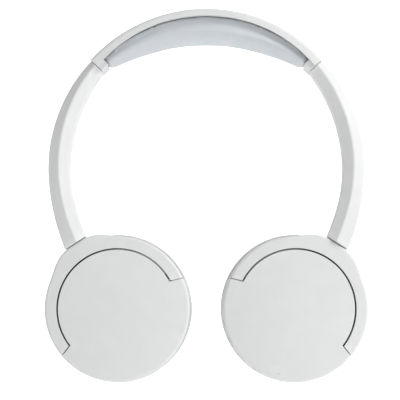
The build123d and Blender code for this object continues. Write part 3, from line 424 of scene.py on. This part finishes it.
def plastic(
    name, colour, roughness, grain=2400.0, peel=160.0, depth=0.00003, specular=0.5, gap_shade=None
):
    """Moulded plastic: satin grain, tone that drifts a little, smudges and rubbed edges."""
    material, board, shader = new_material(name)
    grained = use_group(board, GRAIN, {"Grain Scale": grain, "Peel Scale": peel})
    marks = use_group(board, MARKS)
    rub = use_group(board, RUB)["Rub"]
    base = board.mix(grained["Tone"], shade(colour, 0.975), shade(colour, 1.0))
    speck = board.ramp(grained["Height"], low=0.6, high=1.2, to_low=0.97, to_high=1.0)
    grey = board.put("ShaderNodeCombineColor", {0: speck, 1: speck, 2: speck}).outputs[0]
    base = board.mix(1.0, base, grey, "MULTIPLY")
    base = board.tint(base, marks["Smudge"], 0.35, shade(colour, 0.955))
    base = board.tint(base, rub, 0.5, shade(colour, 1.05))
    # Painted shade: the walls of the gap around each cup's drum turn near-black where shadow
    # would fall.
    if gap_shade:
        base = board.mix(use_group(board, GAP_SHADE_GROUP, gap_shade)["Dust"], base, GAP_SHADE_COLOUR)
    rough = board.add(roughness, marks["Smudge"], -0.07)
    rough = board.add(rough, grained["Height"], 0.05)
    rough = board.add(rough, rub, -0.1)
    height = board.add(grained["Height"], marks["Scuff"], -0.5)
    shader.inputs["Specular IOR Level"].default_value = specular
    finish(board, shader, base, rough, height, depth)
    return material


def leather(name, colour, crease_colour, cell, depth, roughness, painted_shade=None):
    """Soft coated leatherette: pebbled grain, darker creases, worn sheen on the crowns."""
    material, board, shader = new_material(name)
    grain = use_group(board, LEATHER, {"Cell Scale": cell})
    marks = use_group(board, MARKS, {"Smudge Scale": 70.0})
    rub = use_group(board, RUB)["Rub"]
    base = board.mix(grain["Fold"], shade(colour, 0.96), shade(colour, 1.0))
    base = board.tint(base, grain["Crease"], 0.55, shade(crease_colour, 1.0))
    base = board.tint(base, marks["Smudge"], 0.3, shade(colour, 0.94))
    base = board.tint(base, rub, 0.3, shade(colour, 1.04))
    # Painted shade: the pad's skin darkens near its root under the headband's lip, where shadow
    # falls.
    if painted_shade:
        base = board.mix(use_group(board, SEAM_SHADE_GROUP, painted_shade)["Shade"], base, shade(colour, 0.72))
    rough = board.add(roughness, grain["Crease"], 0.15)
    rough = board.add(rough, marks["Smudge"], -0.08)
    height = board.add(grain["Height"], grain["Fold"], 1.5)
    shader.inputs["Specular IOR Level"].default_value = 0.4
    shader.inputs["Sheen Weight"].default_value = 0.12
    shader.inputs["Sheen Roughness"].default_value = 0.5
    finish(board, shader, base, rough, height, depth)
    return material


def metal(name, colour, roughness, lines=1500.0, depth=0.00001):
    """Bare metal with fine drawn lines and a little tarnish."""
    material, board, shader = new_material(name)
    brushed = use_group(board, LINES, {"Line Scale": lines})
    marks = use_group(board, MARKS, {"Smudge Scale": 150.0})
    rub = use_group(board, RUB)["Rub"]
    base = board.mix(brushed["Tone"], shade(colour, 0.82), shade(colour, 1.05))
    base = board.tint(base, marks["Smudge"], 0.4, shade(colour, 0.72))
    base = board.tint(base, rub, 0.6, shade(colour, 1.15))
    rough = board.add(roughness, brushed["Tone"], 0.14)
    rough = board.add(rough, marks["Smudge"], 0.1)
    shader.inputs["Metallic"].default_value = 1.0
    finish(board, shader, base, rough, brushed["Height"], depth)
    return material


def circuit_board(name):
    """Solder mask with copper lands showing through in small patches."""
    material, board, shader = new_material(name)
    place = board.place()
    lands = board.put(
        "ShaderNodeTexVoronoi", {"Vector": place, "Scale": 420.0}, distance="CHEBYCHEV"
    ).outputs["Distance"]
    land = board.ramp(lands, low=0.16, high=0.2, to_low=1.0, to_high=0.0)
    tracks = board.put(
        "ShaderNodeTexWave", {"Vector": place, "Scale": 260.0, "Distortion": 3.0}
    ).outputs[1]
    track = board.ramp(tracks, low=0.8, high=0.9, to_low=0.0, to_high=0.5)
    base = board.mix(track, (0.03, 0.2, 0.09, 1.0), (0.07, 0.36, 0.17, 1.0))
    base = board.mix(land, base, (0.75, 0.62, 0.35, 1.0))
    rough = board.add(0.4, land, -0.15)
    finish(board, shader, base, rough, board.maths("ADD", track, land), 0.00003)
    return material


def clear_plastic(name):
    """Frosted light guide."""
    material, board, shader = new_material(name)
    grained = use_group(board, GRAIN)
    base = board.mix(grained["Tone"], (0.86, 0.89, 0.92, 1.0), (0.95, 0.97, 1.0, 1.0))
    rough = board.add(0.28, grained["Height"], 0.1)
    shader.inputs["Transmission Weight"].default_value = 0.5
    finish(board, shader, base, rough, grained["Height"], 0.00001)
    return material


SHELL = (0.765, 0.775, 0.77)
# Near-black colour for the painted shade in the gaps around the cups' drums.
GAP_SHADE_COLOUR = (0.02, 0.015, 0.012, 1.0)
ARCH_RADIUS = 81.6 * MM
ARCH_CENTRE = Vector((0, (COVER_LOW.y + COVER_HIGH.y) / 2, COVER_HIGH.z - ARCH_RADIUS))
# How far the painted shade under the headband's lip reaches on the pad.
PAD_SEAM_SHADE = {"Middle Z": ARCH_CENTRE.z, "Radius": 77.2 * MM, "Reach": 5.0 * MM}
EAR_LOW, EAR_HIGH = [Vector(corner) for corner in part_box("ear_pad_right")]
EAR_MIDDLE = (EAR_LOW + EAR_HIGH) / 2
# Where the painted gap shade goes: the ring gap around each cup's drum.
GAP = {"Middle X": EAR_MIDDLE.x, "Middle Z": EAR_MIDDLE.z, "Radius": 30.4 * MM, "Reach": 1.1 * MM}
MATERIALS = {
    "shell_white": plastic("satin_white_shell", SHELL, 0.46, gap_shade=GAP),
    "tray_white": plastic("white_tray", (0.70, 0.71, 0.715), 0.52, 1800.0, 140.0),
    "pad_leatherette": leather(
        "band_leatherette", (0.71, 0.74, 0.77), (0.55, 0.58, 0.62), 1150.0, 0.00006, 0.5, PAD_SEAM_SHADE
    ),
    "ear_leatherette": leather(
        "ear_leatherette", (0.60, 0.61, 0.625), (0.42, 0.43, 0.45), 1000.0, 0.00007, 0.46
    ),
    "spring_steel": metal("spring_steel", (0.62, 0.62, 0.63), 0.24),
    "screw_steel": metal("screw_steel", (0.5, 0.5, 0.52), 0.34, 900.0),
    "grey_plastic": plastic("grey_guide_plastic", (0.42, 0.43, 0.44), 0.42, 1500.0),
    "dark_plastic": plastic(
        "dark_inner_plastic", (0.045, 0.046, 0.05), 0.5, 1500.0, 120.0, 0.00006
    ),
    "acetal": plastic("bearing_acetal", (0.78, 0.77, 0.73), 0.32, 3000.0, 90.0, 0.00001),
    "magnet_steel": metal("nickel_plate", (0.66, 0.65, 0.62), 0.14, 600.0),
    "driver_film": plastic("driver_film", (0.6, 0.57, 0.48), 0.25, 800.0, 300.0, 0.00004),
    "grille_metal": plastic("painted_grille", (0.12, 0.125, 0.135), 0.45, 1200.0, 200.0, 0.00004),
    "board_green": circuit_board("circuit_board"),
    "cell_foil": metal("cell_foil", (0.7, 0.7, 0.72), 0.3, 500.0, 0.00004),
    "clear_plastic": clear_plastic("frosted_light_guide"),
    "socket_metal": metal("socket_metal", (0.52, 0.52, 0.54), 0.26, 1100.0),
}
THREAD = plastic("seam_thread", (0.62, 0.63, 0.65), 0.7, 5200.0, 1400.0, 0.00008, 0.3)


def dress_nodes():
    """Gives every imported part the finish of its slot."""
    for part in frame["record"]["subparts"]:
        part_object = NODES[part["node"]]
        material = MATERIALS[part["material_slot"]]
        if not part_object.material_slots:
            part_object.data.materials.append(material)
        for place in part_object.material_slots:
            place.material = material


dress_nodes()


# ---- soft pieces --------------------------------------------------------------
CLOTH_FRAMES = 20
CLOTH_SETTINGS = {
    "use_pressure": True,
    "uniform_pressure_force": 4.0,
    "mass": 0.2,
    "tension_stiffness": 12.0,
    "compression_stiffness": 12.0,
    "shear_stiffness": 6.0,
    "bending_stiffness": 0.4,
}


def new_piece(name, points, faces, material, body):
    """A mesh object that rides on a body."""
    mesh = bpy.data.meshes.new(name)
    mesh.from_pydata(points, [], faces)
    mesh.materials.append(material)
    piece = bpy.data.objects.new(name, mesh)
    bpy.context.collection.objects.link(piece)
    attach(piece, body)
    return piece


def with_modifier(piece, kind, **settings):
    """Applies one modifier to a piece's mesh."""
    modifier = piece.modifiers.new("step", kind)
    for name, value in settings.items():
        setattr(modifier, name, value)
    take_evaluated(piece)


def take_evaluated(piece):
    """Replaces a piece's mesh with what its modifiers make of it."""
    graph = bpy.context.evaluated_depsgraph_get()
    made = bpy.data.meshes.new_from_object(piece.evaluated_get(graph))
    made.name = piece.name
    piece.modifiers.clear()
    piece.data = made


def inflate(piece, is_pinned, cap):
    """Swells a piece as cloth under pressure; no point moves further than the cap."""
    before = [vertex.co.copy() for vertex in piece.data.vertices]
    pins = piece.vertex_groups.new(name="pins")
    pins.add([i for i, place in enumerate(before) if is_pinned(place)], 1.0, "REPLACE")
    cloth = piece.modifiers.new("cloth", "CLOTH")
    cloth.settings.vertex_group_mass = "pins"
    cloth.settings.effector_weights.gravity = 0.0
    for name, value in CLOTH_SETTINGS.items():
        setattr(cloth.settings, name, value)
    cloth.point_cache.frame_start = 1
    cloth.point_cache.frame_end = CLOTH_FRAMES
    scene = bpy.context.scene
    for step in range(1, CLOTH_FRAMES + 1):
        scene.frame_set(step)
    take_evaluated(piece)
    scene.frame_set(1)
    for vertex, place in zip(piece.data.vertices, before):
        move = vertex.co - place
        if move.length > cap:
            vertex.co = place + move * (cap / move.length)
    piece.vertex_groups.clear()


def soften(piece, voxel, is_pinned, cap):
    """Remeshes a drawn shape, lets it swell and smooths it once."""
    with_modifier(piece, "REMESH", mode="VOXEL", voxel_size=voxel, use_smooth_shade=True)
    with_modifier(piece, "SMOOTH", factor=0.5, iterations=2)
    inflate(piece, is_pinned, cap)
    with_modifier(piece, "SMOOTH", factor=0.4, iterations=2)
    with_modifier(piece, "SUBSURF", levels=1, render_levels=1)
    piece.data.shade_smooth()


def ring_faces(rows, columns, closed):
    """Quads between rows of points; each row is a closed loop of columns."""
    faces = []
    for i in range(rows if closed else rows - 1):
        row = i * columns
        next_row = (i + 1) % rows * columns
        for j in range(columns):
            beside = (j + 1) % columns
            faces.append((row + j, row + beside, next_row + beside, next_row + j))
    return faces


# ---- headband pad ---------------------------------------------------------------
PAD_ROOT = 77.6 * MM
PAD_LOW = 64.9 * MM
PAD_END_LOW = 72.2 * MM
PAD_HALF_ANGLE = math.radians(43.5)
PAD_HALF_WIDTH = 12.4 * MM
PAD_END_HALF_WIDTH = 9.0 * MM
PAD_END_ROUND = 0.05
PAD_END_WIDTH_SHARE = 0.75      # of the width and height left at the very ends
PAD_END_HEIGHT_SHARE = 0.6
PAD_ARC_SHARE = 0.9             # of the underside's rise that follows a plain arc
PAD_LAP = 1.04                  # the pad's root laps under the headband's lip
PAD_LEAST_BLUNT = 0.02
PAD_PINNED = 2.4 * MM
PAD_VOXEL = 1.1 * MM
PAD_SWELL = 0.9 * MM
PAD_STEPS = 96
# half of the pad's section: height below its root, and distance from its middle
PAD_PROFILE = [
    (0.00, 0.00), (0.00, 0.50), (0.00, 0.99), (0.06, 0.98), (0.13, 0.93), (0.21, 0.89),
    (0.30, 0.90), (0.40, 0.97), (0.50, 1.03), (0.60, 1.03), (0.71, 0.96), (0.82, 0.81),
    (0.91, 0.58), (0.97, 0.32), (1.00, 0.00),
]


def between(share, start, end):
    return start + (end - start) * share


def arch_place(radius, angle, depth):
    offset = Vector((radius * math.sin(angle), depth, radius * math.cos(angle)))
    return ARCH_CENTRE + offset


def pad_low(angle):
    """Distance of the pad's underside from the arch's centre."""
    share = (angle / PAD_HALF_ANGLE) ** 2
    return PAD_LOW + (PAD_END_LOW - PAD_LOW) * share * between(share, PAD_ARC_SHARE, 1)


def pad_row(share):
    """One section of the pad, at a share of its length from -1 to 1."""
    angle = share * PAD_HALF_ANGLE
    width = between(share ** 2, PAD_HALF_WIDTH, PAD_END_HALF_WIDTH)
    from_end = min(1.0, (1 - abs(share)) / PAD_END_ROUND)
    blunt = math.sqrt(max(PAD_LEAST_BLUNT, 1 - (1 - from_end) ** 2))
    height = (PAD_ROOT - pad_low(angle)) * between(blunt, PAD_END_HEIGHT_SHARE, 1)
    width *= between(blunt, PAD_END_WIDTH_SHARE, 1) * between(share ** 2, PAD_LAP, 1)
    loop = PAD_PROFILE + [(s, -d) for s, d in reversed(PAD_PROFILE[1:-1])]
    return [arch_place(PAD_ROOT - s * height, angle, d * width) for s, d in loop]


def headband_pad():
    """The soft crescent under the headband."""
    rows = [pad_row(2 * i / PAD_STEPS - 1) for i in range(PAD_STEPS + 1)]
    points = [point for row in rows for point in row]
    columns = len(rows[0])
    faces = ring_faces(len(rows), columns, False)
    faces.append(tuple(range(columns))[::-1])
    faces.append(tuple(range(len(points) - columns, len(points))))
    skin = MATERIALS["pad_leatherette"]
    piece = new_piece("headband_cushion", points, faces, skin, "headband")

    def at_root(place):
        offset = place - ARCH_CENTRE
        return math.hypot(offset.x, offset.z) > PAD_ROOT - PAD_PINNED

    soften(piece, PAD_VOXEL, at_root, PAD_SWELL)
    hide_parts("headband_pad")


headband_pad()


# ---- ear pads -------------------------------------------------------------------
EAR_STEPS = 120
EAR_PINNED = 1.8 * MM
EAR_VOXEL = 2.0 * MM
EAR_SWELL = 0.8 * MM
EAR_FRONT_ABOVE = 8 * MM        # the skin above this height is the ear pad's front
EAR_SIDE_BEYOND = 30 * MM       # and the rest beyond this radius is its outer side
# the ear pad's section: distance from its middle and height above its seat
EAR_PROFILE = [
    (18.6, 0.15), (23.0, 0.15), (29.0, 0.15), (34.6, 0.15), (35.9, 1.2), (36.4, 3.2),
    (36.3, 5.6), (35.3, 8.0), (33.2, 9.9), (30.2, 10.9), (26.8, 11.2), (23.4, 10.9),
    (20.4, 9.9), (18.5, 8.2), (17.7, 6.0), (17.6, 3.4), (17.9, 1.2),
]
SEAM_RADIUS = 21.6 * MM
SEAM_DEPTH = 0.5 * MM
SEAM_WIDTH = 1.3 * MM
SEAM_REACH = 4.16 * MM
SIDE_SEAM_HEIGHT = 3.0 * MM
SIDE_SEAM_WIDTH = 1.17 * MM
SIDE_SEAM_REACH = 3.38 * MM
PUCKER_COUNT = 30
PUCKER_HEIGHT = 0.22 * MM
SIDE_PUCKER_HEIGHT = 0.11 * MM
PUCKER_EVENNESS = 0.6
PUCKER_WAVER = 5
PUCKER_DRIFT = 2.2
PUCKER_SEED = (0.3, 0.7)

STITCH_PITCH = 2.3 * MM
STITCH_HOLE = 0.16              # share of the pitch between a stitch's end and the next hole
STITCH_SIDES = 6
# a stitch's shape: share of its length, thickness and rise, in thread radii
STITCH_SHAPE = [
    (0.0, 0.5, -0.6), (0.2, 1.0, 0.1), (0.5, 1.1, 0.4), (0.8, 1.0, 0.1), (1.0, 0.5, -0.6),
]
THREAD_RADIUS = 0.17 * MM
SIDE_RADIUS = 36.5 * MM
PROBE_HEIGHT = 20 * MM          # the skin is felt for from here
PROBE_RADIUS = 50 * MM


def ear_place(centre, seat, radius, height, turn):
    across = Vector((radius * math.cos(turn), 0, radius * math.sin(turn)))
    return Vector((centre.x, seat + height, centre.z)) + across


def ear_pad_shape(side):
    """The ring-shaped pad of one cup, with its sewn seams."""
    low, high = [Vector(corner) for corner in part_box("ear_pad_" + side)]
    centre = (low + high) / 2
    seat = low.y
    points = []
    for i in range(EAR_STEPS):
        turn = 2 * math.pi * i / EAR_STEPS
        points += [ear_place(centre, seat, r * MM, h * MM, turn) for r, h in EAR_PROFILE]
    faces = ring_faces(EAR_STEPS, len(EAR_PROFILE), True)
    skin = MATERIALS["ear_leatherette"]
    name = "ear_cushion_" + side
    piece = new_piece(name, points, faces, skin, side + "_cup")
    soften(piece, EAR_VOXEL, lambda place: place.y < seat + EAR_PINNED, EAR_SWELL)
    sew_seams(piece, centre, seat)
    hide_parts("ear_pad_" + side)
    return piece, centre, seat


def bell(distance, width):
    """One at no distance, falling off smoothly to nothing."""
    return math.exp(-((distance / width) ** 2))


def sew_seams(piece, centre, seat):
    """Draws the skin in along the seams, with small puckers beside them."""
    for vertex in piece.data.vertices:
        offset = vertex.co - centre
        radius = math.hypot(offset.x, offset.z)
        turn = math.atan2(offset.z, offset.x)
        outwards = Vector((offset.x / radius, 0, offset.z / radius))
        height = vertex.co.y - seat
        waver = noise.noise(Vector((turn * PUCKER_WAVER, *PUCKER_SEED)))
        fold = math.sin(turn * PUCKER_COUNT + PUCKER_DRIFT * waver)
        if height > EAR_FRONT_ABOVE:
            near = bell(radius - SEAM_RADIUS, SEAM_WIDTH)
            beside = bell(radius - SEAM_RADIUS, SEAM_REACH)
            pucker = PUCKER_HEIGHT * fold * beside * between(waver, PUCKER_EVENNESS, 1)
            vertex.co.y += pucker - SEAM_DEPTH * near
        elif radius > EAR_SIDE_BEYOND:
            near = bell(height - SIDE_SEAM_HEIGHT, SIDE_SEAM_WIDTH)
            beside = bell(height - SIDE_SEAM_HEIGHT, SIDE_SEAM_REACH)
            pucker = SIDE_PUCKER_HEIGHT * fold * beside
            vertex.co += outwards * (pucker - SEAM_DEPTH * near)
    piece.data.update()


def stitch_points(start, end, lift):
    """A short thread between two holes: a small tube that rises in its middle."""
    along = end - start
    side = along.cross(lift).normalized()
    points = []
    for share, width, rise in STITCH_SHAPE:
        middle = start + along * share + lift * (rise * THREAD_RADIUS)
        for j in range(STITCH_SIDES):
            turn = 2 * math.pi * j / STITCH_SIDES
            spoke = side * math.cos(turn) + lift * math.sin(turn)
            points.append(middle + spoke * (width * THREAD_RADIUS))
    return points


def stitch_faces():
    """The faces of one stitch, with its two ends closed."""
    rings = len(STITCH_SHAPE)
    last = (rings - 1) * STITCH_SIDES
    ends = [tuple(range(STITCH_SIDES))[::-1], tuple(range(last, last + STITCH_SIDES))]
    return ring_faces(rings, STITCH_SIDES, False) + ends


def stitch_row(name, places, lifts, body):
    """A closed row of stitches as one piece."""
    points, faces = [], []
    for i, start in enumerate(places):
        end = places[(i + 1) % len(places)]
        gap = (end - start) * STITCH_HOLE
        faces += [tuple(len(points) + index for index in face) for face in stitch_faces()]
        points += stitch_points(start + gap, end - gap, lifts[i])
    piece = new_piece(name, points, faces, THREAD, body)
    piece.data.shade_smooth()


def skin_places(piece, radius, probe):
    """Places on a pad's skin, a stitch apart on a circle, with the way out of the skin."""
    count = round(2 * math.pi * radius / STITCH_PITCH)
    places, lifts = [], []
    for i in range(count):
        origin, inwards = probe(2 * math.pi * i / count)
        hit, place, _, _ = piece.ray_cast(origin, inwards)
        if hit:
            places.append(place)
            lifts.append(-inwards)
    return places, lifts


def ear_pad(side):
    """One cup's pad with the stitches of its two seams."""
    piece, centre, seat = ear_pad_shape(side)
    bpy.context.view_layer.update()

    def from_front(turn):
        return ear_place(centre, seat, SEAM_RADIUS, PROBE_HEIGHT, turn), Vector((0, -1, 0))

    def from_side(turn):
        inwards = Vector((-math.cos(turn), 0, -math.sin(turn)))
        return ear_place(centre, seat, PROBE_RADIUS, SIDE_SEAM_HEIGHT, turn), inwards

    body = side + "_cup"
    stitch_row("ear_seam_stitches_" + side, *skin_places(piece, SEAM_RADIUS, from_front), body)
    stitch_row("side_seam_stitches_" + side, *skin_places(piece, SIDE_RADIUS, from_side), body)


for side in ("right", "left"):
    ear_pad(side)
